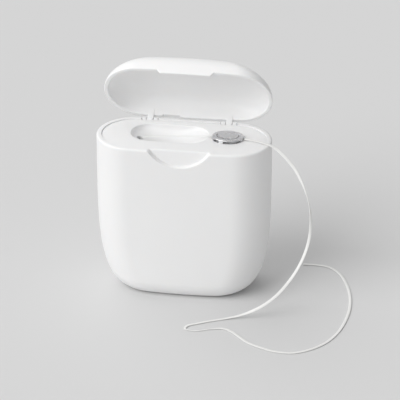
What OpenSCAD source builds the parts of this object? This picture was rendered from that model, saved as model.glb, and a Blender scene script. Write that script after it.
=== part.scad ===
// Flip-top dental floss dispenser, standing with its lid open. Millimetres.
// The origin is the middle of the flat foot. +Z is up, -Y is the front, +X is the viewer's right.

/* [Case] */
// Length of the case, left to right
case_length = 52; // [50:0.5:58]
// Depth of the case, front to back
case_depth = 23.2; // [22.8:0.2:27]
// Height of the case up to its rim
case_height = 48.8; // [47:0.2:58]
// Wall of the case at the rim
case_wall = 1.5; // [1.3:0.1:1.8]
// Thickness of the case's floor
case_floor = 1.6; // [1:0.1:2.4]
// Bulge of the long sides beyond the round ends
side_bow = 0.4; // [0.2:0.1:1.2]
// Rounding of the rim's outer edge
rim_round = 0.6; // [0.3:0.1:0.9]
// How far the foot draws in at each end
foot_draw = 12.9; // [6:0.1:14]
// Height over which the ends curve in to the foot
foot_rise = 37.6; // [24:0.2:40]
// Squareness of that curve, where 2 is an ellipse
foot_power = 3.3; // [2.4:0.1:5]
// How far the foot draws in at the front and the back
foot_draw_side = 4; // [1:0.1:5]
// Height over which the front and back curve in
foot_rise_side = 5.3; // [2:0.1:8]

/* [Thumb dish] */
// Radius of the dish's round edge
dish_radius = 10.8; // [9.5:0.1:12]
// How far the dish reaches below the rim
dish_height = 4.8; // [3.5:0.1:5]
// Depth of the dish at its lower edge
dish_depth_low = 1; // [0.6:0.1:1.2]
// Depth of the dish at the rim
dish_depth_rim = 1.6; // [1.4:0.1:1.8]
// Wall left behind the dish
dish_wall = 1.2; // [0.9:0.1:1.5]

/* [Deck] */
// How far the deck lies below the rim
deck_drop = 0.3; // [0.2:0.05:0.6]
// Thickness of the deck
deck_plate = 1.4; // [1.1:0.1:2]
// Height of the deck's skirt inside the case
skirt_height = 5.9; // [5.5:0.1:7]
// Thickness of the skirt
skirt_wall = 1.2; // [1:0.1:1.6]
// Width of the ledge in the case that the skirt stands on
ledge_width = 0.6; // [0.4:0.1:0.8]
// Play between the skirt and the case
skirt_play = 0.1; // [0.05:0.05:0.2]

/* [Finger recess] */
// Length of the recess
recess_length = 23; // [18:0.5:23.5]
// Width of the recess
recess_width = 11.4; // [9:0.2:12]
// Greatest depth of the recess, near its left end
recess_depth = 4; // [2:0.1:5.4]
// Share of the recess's length at which it is deepest
recess_deepest_share = 0.5; // [0.25:0.01:0.6]
// Roundness of the fall from the left, where 2 is a quarter ellipse and less is straighter
recess_plunge = 1.3; // [1.2:0.1:2]
// Slackness of the rise to the right, where 1 is a cosine
recess_fade = 1; // [1:0.1:2]
// Distance of the recess's left end from the middle
recess_start = 16; // [15:0.5:16.5]
// How far the recess lies behind the middle
recess_y = 1.7; // [0.6:0.1:2]
// Diameter of the floss outlet in the recess
outlet_d = 1.8; // [1.6:0.1:2.2]
// Distance of the outlet from the recess's left end
outlet_offset = 2.5; // [2.3:0.1:2.7]

/* [Cutter] */
// Length of the cutter cap
cutter_length = 9.3; // [8:0.1:10]
// Width of the cutter cap
cutter_width = 7.2; // [6:0.1:8]
// Height of the cutter cap above the deck
cutter_height = 0.95; // [0.95:0.05:1.3]
// Thickness of the cutter's sheet metal
cutter_sheet = 0.3; // [0.2:0.05:0.3]
// Distance of the cutter's middle from the case's right end
cutter_inset = 13.1; // [12.5:0.1:13.5]
// How far the cutter lies behind the middle
cutter_y = 0.6; // [0.4:0.1:0.8]
// Depth of the cutter's seat in the deck
seat_depth = 0.4; // [0.3:0.1:0.7]
// Play round the cutter in its seat
seat_play = 0.05; // [0.02:0.01:0.1]
// Width of the slit round the cutter's tongue
slit_width = 0.25; // [0.2:0.05:0.5]
// Distance of the slit from the cap's edge
slit_margin = 1.3; // [1:0.1:1.6]
// How far behind the cutter's middle the slit's two ends lie
slit_end = 0.9; // [0.5:0.1:1.4]
// Play round the strand in the cap's two gates
gate_play = 0.35; // [0.2:0.05:0.5]
// Length of the low opening in the cap's front
front_gap = 8.2; // [6:0.1:8.2]
// Width of the deck's hook that shows in that opening
post_width = 1.3; // [0.8:0.1:1.6]
// Depth of the hook's foot
post_depth = 0.8; // [0.5:0.1:0.8]
// How far the hook stands to the left of the cutter's middle
post_x = 1.65; // [0.8:0.05:1.8]
// Play between the hook and the cap
post_play = 0.05; // [0.03:0.01:0.15]

/* [Lid] */
// Angle that the lid stands open
lid_open = 65; // [0:1:105]
// How far the lid's rim lies within the case's ends
lid_inset_end = 0.9; // [0.5:0.1:1.4]
// How far the lid's rim lies within the case's front and back
lid_inset_side = 0.3; // [0.3:0.05:0.8]
// Height of the lid
lid_height = 7.5; // [6:0.1:10]
// Wall of the lid
lid_wall = 1.15; // [0.9:0.05:1.4]
// Gap between the closed lid and the rim, where the strand passes
lid_gap = 0.5; // [0.5:0.05:0.8]
// How far the lid's crown draws in at each end
crown_draw = 11.9; // [4:0.1:13]
// How far the lid's crown draws in at the front and the back
crown_draw_side = 4; // [1:0.1:5]
// How far the thumb tab reaches below the lid's rim
tab_drop = 1.25; // [0.6:0.05:1.4]
// Play between the thumb tab and the dish's face
tab_play = 0.25; // [0.2:0.05:0.35]
// Play between the thumb tab and the dish's round edge
tab_side_play = 0.75; // [0.6:0.05:1]

/* [Hinge] */
// Distance of each hinge from the middle
hinge_x = 11.85; // [11:0.05:12.2]
// How far the hinge axis lies inside the case's back
hinge_inset = 0.7; // [0.6:0.05:0.8]
// Depth of the hinge axis below the rim
hinge_drop = 1.15; // [1:0.05:1.3]
// Radius of the hinge ears
ear_radius = 1.2; // [1.1:0.05:1.25]
// Thickness of each hinge ear
ear_width = 1.3; // [1:0.05:1.4]
// Width of the lid's knuckle between two ears
knuckle_width = 1.8; // [1.4:0.05:2.1]
// Diameter of the knuckle's moulded pins
pin_d = 1.1; // [0.9:0.05:1.2]
// Radial play of the pins in the ears
pin_play = 0.05; // [0.03:0.01:0.1]
// Play between a knuckle and its ears
knuckle_play = 0.15; // [0.1:0.05:0.2]
// Length of the slot in the lid's back, between the left knuckle and the middle
slot_length = 5.4; // [3:0.1:6]
// Distance of the slot from the left knuckle's inner ear
slot_gap = 1.1; // [0.3:0.1:1.5]
// Height of the slot
slot_height = 0.5; // [0.3:0.1:1.5]

/* [Bobbin] */
// Diameter of the bobbin's flanges
flange_d = 34; // [30:0.5:34.5]
// Thickness of each flange
flange_wall = 0.9; // [0.7:0.1:1.3]
// Diameter of the bobbin's core
core_d = 11; // [10:0.5:14]
// Bore of the bobbin's core
core_bore = 8; // [6:0.1:8.4]
// Diameter of the floss winding
winding_d = 31; // [26:0.5:31.2]
// Play between the winding and the bobbin
winding_play = 0.05; // [0.02:0.01:0.1]
// Height of the bobbin's axle
axle_z = 21; // [20.6:0.1:21.6]
// Radial play of the bobbin on its stubs
axle_play = 0.08; // [0.04:0.01:0.1]
// Play between the bobbin's flanges and the arms
bobbin_play = 0.4; // [0.2:0.1:0.6]
// Thickness of the arms that carry the bobbin
arm_wall = 1.1; // [0.9:0.1:1.3]
// Width of the arms
arm_width = 10; // [8.6:0.2:14]
// Play between the arms and the case
arm_play = 0.25; // [0.2:0.05:0.4]
// Reach of the stubs into the core
stub_reach = 2.6; // [1.5:0.1:4]

/* [Floss] */
// Width of the flat strand
floss_width = 0.85; // [0.6:0.05:0.9]
// Thickness of the flat strand
floss_thick = 0.4; // [0.3:0.02:0.42]

/* [Hidden] */

$fn = 48;
eps = 0.01;
END_STEPS = 20;
SIDE_STEPS = 12;
FOOT_STEPS = 11;
CROWN_STEPS = 8;
RECESS_STEPS = 16;
SECTION_STEPS = 12;
FLOSS_SIDES = 8;
FLOSS_STEPS = 2;

plastic_white = [0.955, 0.955, 0.95];
metal_grey = [0.68, 0.69, 0.7];
floss_white = [0.97, 0.97, 0.965];

half_l = case_length / 2;
half_d = case_depth / 2;
deck_z = case_height - deck_drop;
ledge_z = deck_z - skirt_height;
inner_inset = case_wall + ledge_width;
skirt_inset = case_wall + skirt_play;
dish_z = case_height - dish_height + dish_radius;

recess_left = -recess_start;
recess_right = recess_left + recess_length;
recess_deepest = recess_left + recess_deepest_share * recess_length;
recess_wall = 1.1;
recess_lip = 0.6;
// Share of the recess's half length that its rings span, so that the end rings keep some width
recess_span = 0.992;

cutter_x = half_l - cutter_inset;
sheet_top = deck_z + cutter_height;
gate_width = floss_width + 2 * gate_play;
rest_length = 5;
rest_width = 3;
rest_rise = 0.12;
post_gap = 0.55;

hinge_y = half_d - hinge_inset;
hinge_z = case_height - hinge_drop;
hinge_half = knuckle_width / 2 + knuckle_play + ear_width;
notch_play = 0.25;
lid_half_l = half_l - lid_inset_end;
lid_half_d = half_d - lid_inset_side;
lid_z = case_height + lid_gap;
link_rise = 2;
link_depth = 1.4 * ear_radius;
window_height = 6;

arm_out = half_d - inner_inset - arm_play;
arm_in = arm_out - arm_wall;
flange_out = arm_in - bobbin_play;
stub_r = core_bore / 2 - axle_play;

// The held stretch, from the winding up through the outlet, over the recess and under the tongue
run_route = [
    [-15.9, 1.7, 23.5], [-15.1, 1.7, 30], [-14.3, 1.7, 37], [-13.6, 1.7, 43],
    [-13.4, 1.7, 45.2], [-12.7, 1.7, 46.6], [-10.6, 1.7, 47], [-6, 1.6, 47.45],
    [-1, 1.4, 47.95], [4, 1.1, 48.45], [8.2, 0.8, 48.86], [12.9, 0.6, 48.9],
    [16.6, 0.5, 48.9], [17.8, 0.3, 48.9],
];

// The free stretch, over the rim, down to the floor, back in a narrow turn and round in an open loop
strand_route = [
    [17.9, 0.3, 48.9], [21.3, -0.8, 49], [23.9, -2.05, 49.05], [26.2, -3.2, 48.95],
    [28.4, -3.9, 47.8], [31, -4.7, 45.6], [34, -5.8, 42.2], [36.8, -7.5, 37],
    [38.6, -9.3, 31.4], [38.9, -11, 26], [38.1, -12.8, 21], [36.2, -14.4, 16],
    [33.4, -16, 11.3], [29.8, -17.6, 7], [25.4, -19, 3.7], [20.4, -19.8, 1.3],
    [15.6, -21.1, 0.3], [11, -23.2, 0.22], [7.4, -25.2, 0.22], [4.9, -26.8, 0.22],
    [4.7, -28.9, 0.22], [8, -29.3, 0.22], [11.8, -27.8, 0.22], [15.2, -26.9, 0.22],
    [18, -28.2, 0.22], [20.8, -31, 0.22], [23.6, -33.8, 0.22], [27.6, -36, 0.22],
    [32.4, -37.7, 0.22], [37.4, -37.6, 0.22], [42, -35, 0.22], [46, -30.6, 0.22],
    [48.8, -24.6, 0.22], [50.4, -17.6, 0.22], [51, -10, 0.22], [50.4, -2.4, 0.22],
    [48.6, 4.8, 0.22], [45.8, 11, 0.22], [41.4, 14.8, 0.22], [34.4, 15.2, 0.22],
];

// Share of a draw at height share u, along a curve of squareness p
function drawn(u, p) = 1 - pow(1 - pow(min(1, max(0, u)), p), 1 / p);

// One turn round a long oval of four tangent arcs, anticlockwise from above
function oval(a, b, bow = side_bow) =
    let (
        r = b - bow,
        c = a - r,
        big = (c * c + b * b - r * r) / (2 * bow),
        turn = asin(c / (big - r)),
        open = 90 - turn
    )
    concat(
        [for (i = [0:END_STEPS - 1]) let (t = -open + 2 * open * i / END_STEPS)
            [c + r * cos(t), r * sin(t)]],
        [for (i = [0:SIDE_STEPS - 1]) let (t = open + 2 * turn * i / SIDE_STEPS)
            [big * cos(t), big * sin(t) - (big - b)]],
        [for (i = [0:END_STEPS - 1]) let (t = 180 - open + 2 * open * i / END_STEPS)
            [-c + r * cos(t), r * sin(t)]],
        [for (i = [0:SIDE_STEPS - 1]) let (t = 180 + open + 2 * turn * i / SIDE_STEPS)
            [big * cos(t), big * sin(t) + (big - b)]]
    );

function ring(a, b, z) = [for (p = oval(a, b)) [p[0], p[1], z]];

// Closed skin over a stack of rings with equal counts, capped at both ends
module skin(rings) {
    n = len(rings[0]);
    last = len(rings) - 1;
    polyhedron(
        points = [for (r = rings) for (p = r) p],
        faces = concat(
            [[for (i = [0:n - 1]) i]],
            [for (k = [0:last - 1]) for (i = [0:n - 1]) let (j = (i + 1) % n)
                for (f = [[k * n + i, (k + 1) * n + i, (k + 1) * n + j],
                          [k * n + i, (k + 1) * n + j, k * n + j]]) f],
            [[for (i = [n - 1:-1:0]) last * n + i]]
        )
    );
}

// Heights of the foot's rings, closest together near the floor
function foot_levels(low) = [
    for (k = [0:FOOT_STEPS]) low + (foot_rise - low) * pow(k / FOOT_STEPS, 2.2)
];

function foot_ring(z, low, inset) = ring(
    half_l - inset - foot_draw * drawn((foot_rise - z) / (foot_rise - low), foot_power),
    half_d - inset - foot_draw_side * drawn((foot_rise_side + low - z) / foot_rise_side, 2),
    z
);

// Round-edged block in front of a plane that leans back towards the rim, grown by a margin
module dish_block(margin) {
    lean = atan((dish_depth_rim - dish_depth_low) / dish_height);
    reach = 2 * (dish_depth_rim + dish_wall);
    intersection() {
        translate([0, reach - half_d, dish_z])
            rotate([90, 0, 0])
                cylinder(r = dish_radius + margin, h = 2 * reach, $fn = 128);
        translate([0, dish_depth_rim + margin - half_d, case_height])
            rotate([-lean, 0, 0])
                translate([-half_l, -2 * reach, -2 * dish_radius])
                    cube([case_length, 2 * reach, 4 * dish_radius]);
    }
}

module case_outside() {
    skin(concat(
        [for (z = foot_levels(0)) foot_ring(z, 0, 0)],
        [for (t = [0:30:90]) ring(
            half_l - rim_round * (1 - cos(t)),
            half_d - rim_round * (1 - cos(t)),
            case_height - rim_round * (1 - sin(t)))]
    ));
}

module case_cavity() {
    skin(concat(
        [for (z = foot_levels(case_floor)) foot_ring(z, case_floor, inner_inset)],
        [ring(half_l - inner_inset, half_d - inner_inset, ledge_z - eps),
         ring(half_l - case_wall, half_d - case_wall, ledge_z),
         ring(half_l - case_wall, half_d - case_wall, case_height + 1)]
    ));
}

module case() {
    color(plastic_white)
        difference() {
            case_outside();
            difference() {
                case_cavity();
                dish_block(dish_wall);
            }
            dish_block(0);
            hinge_windows();
        }
}

// Windows in the back of the rim through which the hinge ears pass
module hinge_windows() {
    for (side = [-1, 1])
        translate([
            side * hinge_x - hinge_half - notch_play,
            half_d - case_wall - 1,
            hinge_z - ear_radius - notch_play
        ])
            cube([2 * (hinge_half + notch_play), case_wall + 2, window_height]);
}

// Half width of the recess in plan, a long oval with round ends
function recess_half(x) =
    let (r = recess_width / 2, d = min(x - recess_left, recess_right - x))
    d >= r ? r : sqrt(max(0, r * r - (r - d) * (r - d)));

// Depth along the recess, a steep fall that eases at the left and a cosine up to the right
function recess_fall(x) =
    x < recess_deepest
        ? recess_depth
            * sqrt(max(0, 1 - pow((recess_deepest - x) / (recess_deepest - recess_left), recess_plunge)))
        : recess_depth * pow(cos(90 * (x - recess_deepest) / (recess_right - recess_deepest)), recess_fade);

// Boat with half-elliptical sections, grown by a wall, whose top lies a lift above the deck
module recess_boat(wall, lift) {
    stretch = (recess_length + 2 * wall) / recess_length;
    mid = (recess_left + recess_right) / 2;
    skin([
        for (k = [0:RECESS_STEPS])
            let (x = mid - recess_span * recess_length / 2 * cos(180 * k / RECESS_STEPS))
            [for (i = [0:SECTION_STEPS]) let (t = 180 * i / SECTION_STEPS) [
                mid + (x - mid) * stretch,
                recess_y - (recess_half(x) + wall) * cos(t),
                deck_z + lift - (recess_fall(x) + wall + lift) * sin(t)
            ]]
    ]);
}

module deck_plan(inset) {
    polygon(oval(half_l - skirt_inset - inset, half_d - skirt_inset - inset));
}

module cutter_plan(inset) {
    polygon(oval(cutter_length / 2 - inset, cutter_width / 2 - inset, 0.5));
}

module at_cutter(z) {
    translate([cutter_x, cutter_y, z])
        children();
}

module bobbin_arm() {
    translate([0, arm_out, axle_z])
        rotate([90, 0, 0])
            cylinder(d = arm_width, h = arm_wall);
    translate([-arm_width / 2, arm_in, axle_z])
        cube([arm_width, arm_wall, deck_z - deck_plate / 2 - axle_z]);
    translate([0, arm_in + eps, axle_z])
        rotate([90, 0, 0])
            cylinder(r = stub_r, h = bobbin_play + stub_reach + eps);
}

// Block that the strand is pressed against, and the hook in the opening of the cap's front
module cutter_supports() {
    hook_height = cutter_height - cutter_sheet - 2 * post_play;
    translate([-rest_length / 2, -rest_width / 2, 0])
        cube([rest_length, rest_width, seat_depth + rest_rise + eps]);
    translate([-post_x - post_width / 2, -rest_width / 2 - post_gap - post_depth, 0])
        cube([post_width, post_depth, seat_depth + post_play + hook_height + eps]);
    translate([-post_x - post_width / 2, post_play - cutter_width / 2, seat_depth + post_play + eps])
        cube([post_width, cutter_width / 2 - post_play - rest_width / 2 - post_gap, hook_height]);
}

module hinge_ear(from_x) {
    translate([from_x, hinge_y, hinge_z])
        rotate([0, 90, 0])
            cylinder(r = ear_radius, h = ear_width);
    translate([from_x, half_d - skirt_inset - skirt_wall, hinge_z - ear_radius])
        cube([ear_width, hinge_y - half_d + skirt_inset + skirt_wall, ear_radius]);
}

// Room in the deck for the lid's knuckles, from straight above to right behind the axis
module knuckle_space() {
    room = ear_radius + knuckle_play;
    for (side = [-1, 1])
        translate([side * hinge_x - knuckle_width / 2 - knuckle_play, hinge_y, hinge_z]) {
            rotate([0, 90, 0])
                cylinder(r = room, h = knuckle_width + 2 * knuckle_play);
            translate([0, -room, 0])
                cube([knuckle_width + 2 * knuckle_play, 2 * room, 2 * room]);
        }
}

module deck_insert() {
    color(plastic_white)
        difference() {
            union() {
                difference() {
                    union() {
                        translate([0, 0, deck_z - deck_plate])
                            linear_extrude(deck_plate)
                                deck_plan(0);
                        translate([0, 0, ledge_z])
                            linear_extrude(skirt_height - deck_plate / 2)
                                difference() {
                                    deck_plan(0);
                                    deck_plan(skirt_wall);
                                }
                        recess_boat(recess_wall, -deck_plate / 2);
                        bobbin_arm();
                        mirror([0, 1, 0])
                            bobbin_arm();
                    }
                    dish_block(dish_wall + skirt_play);
                    at_cutter(deck_z - seat_depth)
                        linear_extrude(seat_depth + 1)
                            cutter_plan(-seat_play);
                }
                at_cutter(deck_z - seat_depth - eps)
                    cutter_supports();
                for (side = [-1, 1]) {
                    hinge_ear(side * hinge_x - hinge_half);
                    hinge_ear(side * hinge_x + hinge_half - ear_width);
                }
            }
            recess_boat(0, recess_lip);
            knuckle_space();
            translate([recess_left + outlet_offset, recess_y, deck_z - recess_depth - 2 * recess_wall])
                cylinder(d = outlet_d, h = recess_depth + 3 * recess_wall);
            for (side = [-1, 1])
                translate([side * hinge_x - hinge_half - 1, hinge_y, hinge_z])
                    rotate([0, 90, 0])
                        cylinder(r = pin_d / 2 + pin_play, h = 2 * hinge_half + 2);
        }
}

// Share of the lid's dome, from its rim at 0 degrees to its crown at 90
function lid_ring(t, inset, height) = ring(
    lid_half_l - inset - crown_draw * (1 - cos(t)),
    lid_half_d - inset - crown_draw_side * (1 - cos(t)),
    lid_z + height * sin(t)
);

module lid_dome(inset, height) {
    skin([for (k = [0:CROWN_STEPS]) lid_ring(90 * k / CROWN_STEPS, inset, height)]);
}

// Strip of the lid's front wall that reaches down into the dish
module thumb_tab() {
    lean = (dish_depth_rim - dish_depth_low) / dish_height;
    tab_low = lid_z - tab_drop;
    tab_back = dish_depth_rim - lean * (case_height - tab_low) - tab_play - half_d;
    intersection() {
        translate([0, tab_back, dish_z])
            rotate([90, 0, 0])
                cylinder(r = dish_radius - tab_side_play, h = 2 * dish_depth_rim, $fn = 128);
        translate([0, 0, tab_low])
            linear_extrude(tab_drop + 1)
                polygon(oval(lid_half_l, lid_half_d));
    }
}

module lid_closed() {
    difference() {
        union() {
            difference() {
                lid_dome(0, lid_height);
                lid_dome(lid_wall, lid_height - lid_wall);
                translate([0, 0, lid_z - 1])
                    linear_extrude(1 + eps)
                        polygon(oval(lid_half_l - lid_wall, lid_half_d - lid_wall));
            }
            thumb_tab();
        }
        translate([hinge_half + slot_gap - hinge_x, lid_half_d - lid_wall - 1, lid_z - 1])
            cube([slot_length, lid_wall + 2, slot_height + 1]);
    }
    for (side = [-1, 1])
        translate([side * hinge_x, hinge_y, hinge_z])
            rotate([0, 90, 0]) {
                cylinder(r = ear_radius, h = knuckle_width, center = true);
                cylinder(d = pin_d, h = 2 * hinge_half, center = true);
            }
    for (side = [-1, 1])
        translate([side * hinge_x - knuckle_width / 2, hinge_y - ear_radius, hinge_z])
            cube([knuckle_width, link_depth, lid_z + link_rise - hinge_z]);
}

module lid() {
    color(plastic_white)
        translate([0, hinge_y, hinge_z])
            rotate([-lid_open, 0, 0])
                translate([0, -hinge_y, -hinge_z])
                    lid_closed();
}

module cutter_cap() {
    color(metal_grey)
        difference() {
            at_cutter(deck_z - seat_depth)
                linear_extrude(seat_depth + cutter_height)
                    cutter_plan(0);
            at_cutter(deck_z - seat_depth - 1)
                linear_extrude(seat_depth + cutter_height + 1 - cutter_sheet)
                    cutter_plan(cutter_sheet);
            at_cutter(deck_z)
                translate([-cutter_length, -gate_width / 2, 0])
                    cube([2 * cutter_length, gate_width, cutter_height - cutter_sheet]);
            at_cutter(deck_z)
                translate([-front_gap / 2, -cutter_width, 0])
                    cube([front_gap, cutter_width - rest_width / 2, cutter_height - cutter_sheet]);
            at_cutter(sheet_top - cutter_sheet - 1)
                linear_extrude(cutter_sheet + 2)
                    tongue_slit();
        }
}

// Slit that runs round a tongue along the cap's own oval, and leaves it joined at the back
module tongue_slit() {
    difference() {
        cutter_plan(slit_margin);
        cutter_plan(slit_margin + slit_width);
        translate([-cutter_length / 2, slit_end])
            square([cutter_length, cutter_width]);
    }
}

module round_y(profile) {
    translate([0, 0, axle_z])
        rotate([90, 0, 0])
            rotate_extrude($fn = 96)
                polygon(profile);
}

module bobbin() {
    flange_in = flange_out - flange_wall;
    color(plastic_white)
        round_y([
            [core_bore / 2, -flange_out], [flange_d / 2, -flange_out], [flange_d / 2, -flange_in],
            [core_d / 2, -flange_in], [core_d / 2, flange_in], [flange_d / 2, flange_in],
            [flange_d / 2, flange_out], [core_bore / 2, flange_out],
        ]);
}

module floss_winding() {
    side = flange_out - flange_wall - winding_play;
    color(floss_white)
        round_y([
            [core_d / 2 + winding_play, -side], [winding_d / 2, -side],
            [winding_d / 2, side], [core_d / 2 + winding_play, side],
        ]);
}

// Point at share t between route points i and i + 1, on the smooth curve through them all
function route_at(p, i, t) =
    let (a = p[max(i - 1, 0)], b = p[i], c = p[i + 1], d = p[min(i + 2, len(p) - 1)])
    b + (c - a) * t / 2
        + (2 * a - 5 * b + 4 * c - d) * t * t / 2
        + (3 * b - a - 3 * c + d) * t * t * t / 2;

function route_line(p) = concat(
    [for (i = [0:len(p) - 2]) for (k = [0:FLOSS_STEPS - 1]) route_at(p, i, k / FLOSS_STEPS)],
    [p[len(p) - 1]]
);

// Flat tube along a route, its wide side level
module floss(route) {
    line = route_line(route);
    last = len(line) - 1;
    skin([
        for (i = [0:last])
            let (
                ahead = line[min(i + 1, last)] - line[max(i - 1, 0)],
                side = [ahead[1], -ahead[0], 0] / norm([ahead[0], ahead[1]]),
                up = cross(side, ahead) / norm(ahead)
            )
            [for (k = [0:FLOSS_SIDES - 1]) let (t = -360 * (k + 0.5) / FLOSS_SIDES)
                line[i] + side * floss_width / 2 * cos(t) + up * floss_thick / 2 * sin(t)]
    ]);
}

module floss_run() {
    color(floss_white)
        floss(run_route);
}

module floss_strand() {
    color(floss_white)
        floss(strand_route);
}

case();
deck_insert();
lid();
cutter_cap();
bobbin();
floss_winding();
floss_run();
floss_strand();
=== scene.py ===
"""Flip-top dental floss dispenser: the finish of every surface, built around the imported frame.

Lengths are metres, +Z is up and the front faces -Y. The origin is the middle of the flat foot.
"""

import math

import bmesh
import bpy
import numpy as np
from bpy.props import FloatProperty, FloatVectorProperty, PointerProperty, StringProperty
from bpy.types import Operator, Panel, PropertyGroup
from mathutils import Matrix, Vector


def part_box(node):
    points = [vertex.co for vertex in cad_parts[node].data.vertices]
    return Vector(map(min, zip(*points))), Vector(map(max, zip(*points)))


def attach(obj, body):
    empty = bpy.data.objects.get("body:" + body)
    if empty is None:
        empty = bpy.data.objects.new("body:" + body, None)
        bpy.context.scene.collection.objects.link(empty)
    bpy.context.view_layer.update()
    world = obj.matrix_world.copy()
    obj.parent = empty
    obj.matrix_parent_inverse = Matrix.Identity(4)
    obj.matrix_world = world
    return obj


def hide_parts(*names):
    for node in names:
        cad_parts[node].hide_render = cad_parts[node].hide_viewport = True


bl_info = {
    "name": "Floss dispenser",
    "version": (1, 0, 0),
    "blender": (4, 5, 0),
    "location": "3D View > Sidebar > Dispenser",
    "description": "Builds a white flip-top floss dispenser with its lid open and its strand pulled out",
    "category": "Add Mesh",
}

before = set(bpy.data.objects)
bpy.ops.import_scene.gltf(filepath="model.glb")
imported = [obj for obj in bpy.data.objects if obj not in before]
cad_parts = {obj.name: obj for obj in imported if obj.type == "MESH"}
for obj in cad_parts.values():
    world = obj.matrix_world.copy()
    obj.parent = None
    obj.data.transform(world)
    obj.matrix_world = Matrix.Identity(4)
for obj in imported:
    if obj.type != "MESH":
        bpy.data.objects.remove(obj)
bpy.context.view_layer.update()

MM = 0.001
CASE_LOW, CASE_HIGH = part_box("case")
HALF_L = CASE_HIGH.x
HALF_D = -CASE_LOW.y
RIM_Z = CASE_HIGH.z

# How far a cutting block reaches past the surface that it cuts
PAST = 1 * MM
# Rounding of a cutting block's rims, just enough to close them
CUT_EDGE = 0.01 * MM

# Listed as in the frame's own floss, in millimetres
RUN_ROUTE = (
    (-15.9, 1.7, 23.5), (-15.1, 1.7, 30), (-14.3, 1.7, 37), (-13.6, 1.7, 43),
    (-13.4, 1.7, 45.2), (-12.7, 1.7, 46.6), (-10.6, 1.7, 47), (-6, 1.6, 47.45),
    (-1, 1.4, 47.95), (4, 1.1, 48.45), (8.2, 0.8, 48.86), (12.9, 0.6, 48.9),
    (16.6, 0.5, 48.9), (17.8, 0.3, 48.9),
)
STRAND_ROUTE = (
    (17.9, 0.3, 48.9), (21.3, -0.8, 49), (23.9, -2.05, 49.05), (26.2, -3.2, 48.95),
    (28.4, -3.9, 47.8), (31, -4.7, 45.6), (34, -5.8, 42.2), (36.8, -7.5, 37),
    (38.6, -9.3, 31.4), (38.9, -11, 26), (38.1, -12.8, 21), (36.2, -14.4, 16),
    (33.4, -16, 11.3), (29.8, -17.6, 7), (25.4, -19, 3.7), (20.4, -19.8, 1.3),
    (15.6, -21.1, 0.3), (11, -23.2, 0.22), (7.4, -25.2, 0.22), (4.9, -26.8, 0.22),
    (4.7, -28.9, 0.22), (8, -29.3, 0.22), (11.8, -27.8, 0.22), (15.2, -26.9, 0.22),
    (18, -28.2, 0.22), (20.8, -31, 0.22), (23.6, -33.8, 0.22), (27.6, -36, 0.22),
    (32.4, -37.7, 0.22), (37.4, -37.6, 0.22), (42, -35, 0.22), (46, -30.6, 0.22),
    (48.8, -24.6, 0.22), (50.4, -17.6, 0.22), (51, -10, 0.22), (50.4, -2.4, 0.22),
    (48.6, 4.8, 0.22), (45.8, 11, 0.22), (41.4, 14.8, 0.22), (34.4, 15.2, 0.22),
)


def size(name, millimetres, description):
    """A length that shows in the sidebar."""
    return FloatProperty(
        name=name, description=description, default=millimetres * MM, unit="LENGTH", precision=4
    )


def angle(name, degrees, description):
    """An angle that shows in the sidebar."""
    return FloatProperty(
        name=name, description=description, default=math.radians(degrees), subtype="ANGLE"
    )


def number(name, default, description):
    """A plain number that shows in the sidebar."""
    return FloatProperty(name=name, description=description, default=default)


def tint(name, value, description):
    """A colour held as its sRGB hex value."""
    return StringProperty(name=name, description=description, default=value)


class StageSettings(PropertyGroup):
    azimuth: angle("Azimuth", 8.36, "Camera's turn to the right")
    elevation: angle("Elevation", 27.53, "Camera's height angle")
    distance: size("Distance", 743, "From the camera to the point it looks at")
    aim: FloatVectorProperty(
        name="Aim", description="Point the camera looks at", default=(4.72 * MM, 0, 27.9 * MM),
        subtype="TRANSLATION",
    )
    lens: number("Lens", 224.9, "Focal length on a 36 mm sensor, in millimetres")
    key_turn: angle("Key turn", -50, "Key light's turn from the front")
    key_height: angle("Key height", 40, "Key light's height angle")
    key_strength: number("Key strength", 1.835, "Strength of the key light")
    key_spread: angle("Key spread", 50, "Softness of the key light")
    fill_turn: angle("Fill turn", -5, "Fill light's turn from the front")
    fill_height: angle("Fill height", 15, "Fill light's height angle")
    fill_strength: number("Fill strength", 0.224, "Strength of the fill light")
    fill_spread: angle("Fill spread", 60, "Softness of the fill light")
    back_turn: angle("Back turn", -135, "Back light's turn from the front")
    back_height: angle("Back height", 50, "Back light's height angle")
    back_strength: number("Back strength", 0.682, "Strength of the back light")
    back_spread: angle("Back spread", 50, "Softness of the back light")
    sky_strength: number("Sky strength", 0.377, "Strength of the even light all round")
    floor_reach: size("Floor reach", 3000, "How far the tabletop reaches on each side")
    floor_colour: tint("Floor", "#DBDBDB", "Colour of the tabletop")


class CaseSettings(PropertyGroup):
    wall: size("Wall", 1.5, "Wall at the rim")
    floor: size("Floor", 1.6, "Thickness of the floor")
    bow: size("Bow", 0.4, "Bulge of the long sides beyond the round ends")
    rim_round: size("Rim rounding", 0.6, "Rounding of the rim's outer edge")
    inner_round: size("Inner rounding", 0.08, "Rounding of the rim's inner edge")
    foot_draw: size("Foot draw", 12.9, "How far the foot draws in at each end")
    foot_rise: size("Foot rise", 37.6, "Height over which the ends curve in")
    foot_power: number("Foot squareness", 3.3, "Squareness of the ends' curve, where 2 is an ellipse")
    side_draw: size("Side draw", 4, "How far the foot draws in at the front and back")
    side_rise: size("Side rise", 5.3, "Height over which the front and back curve in")
    ledge_z: size("Ledge height", 42.6, "Height of the ledge that carries the deck")
    ledge: size("Ledge", 0.6, "Width of that ledge")
    dish_radius: size("Dish radius", 10.8, "Radius of the thumb dish's round edge")
    dish_height: size("Dish height", 4.8, "How far the dish reaches below the rim")
    dish_low: size("Dish depth below", 1.0, "Depth of the dish at its lower edge")
    dish_rim: size("Dish depth above", 1.6, "Depth of the dish at the rim")
    dish_wall: size("Dish wall", 1.2, "Wall left behind the dish")
    dish_edge: size("Dish edge", 0.42, "Width over which the dish's edge rounds in")
    colour: tint("Colour", "#F5F5F5", "Colour of the moulded shell")


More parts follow.
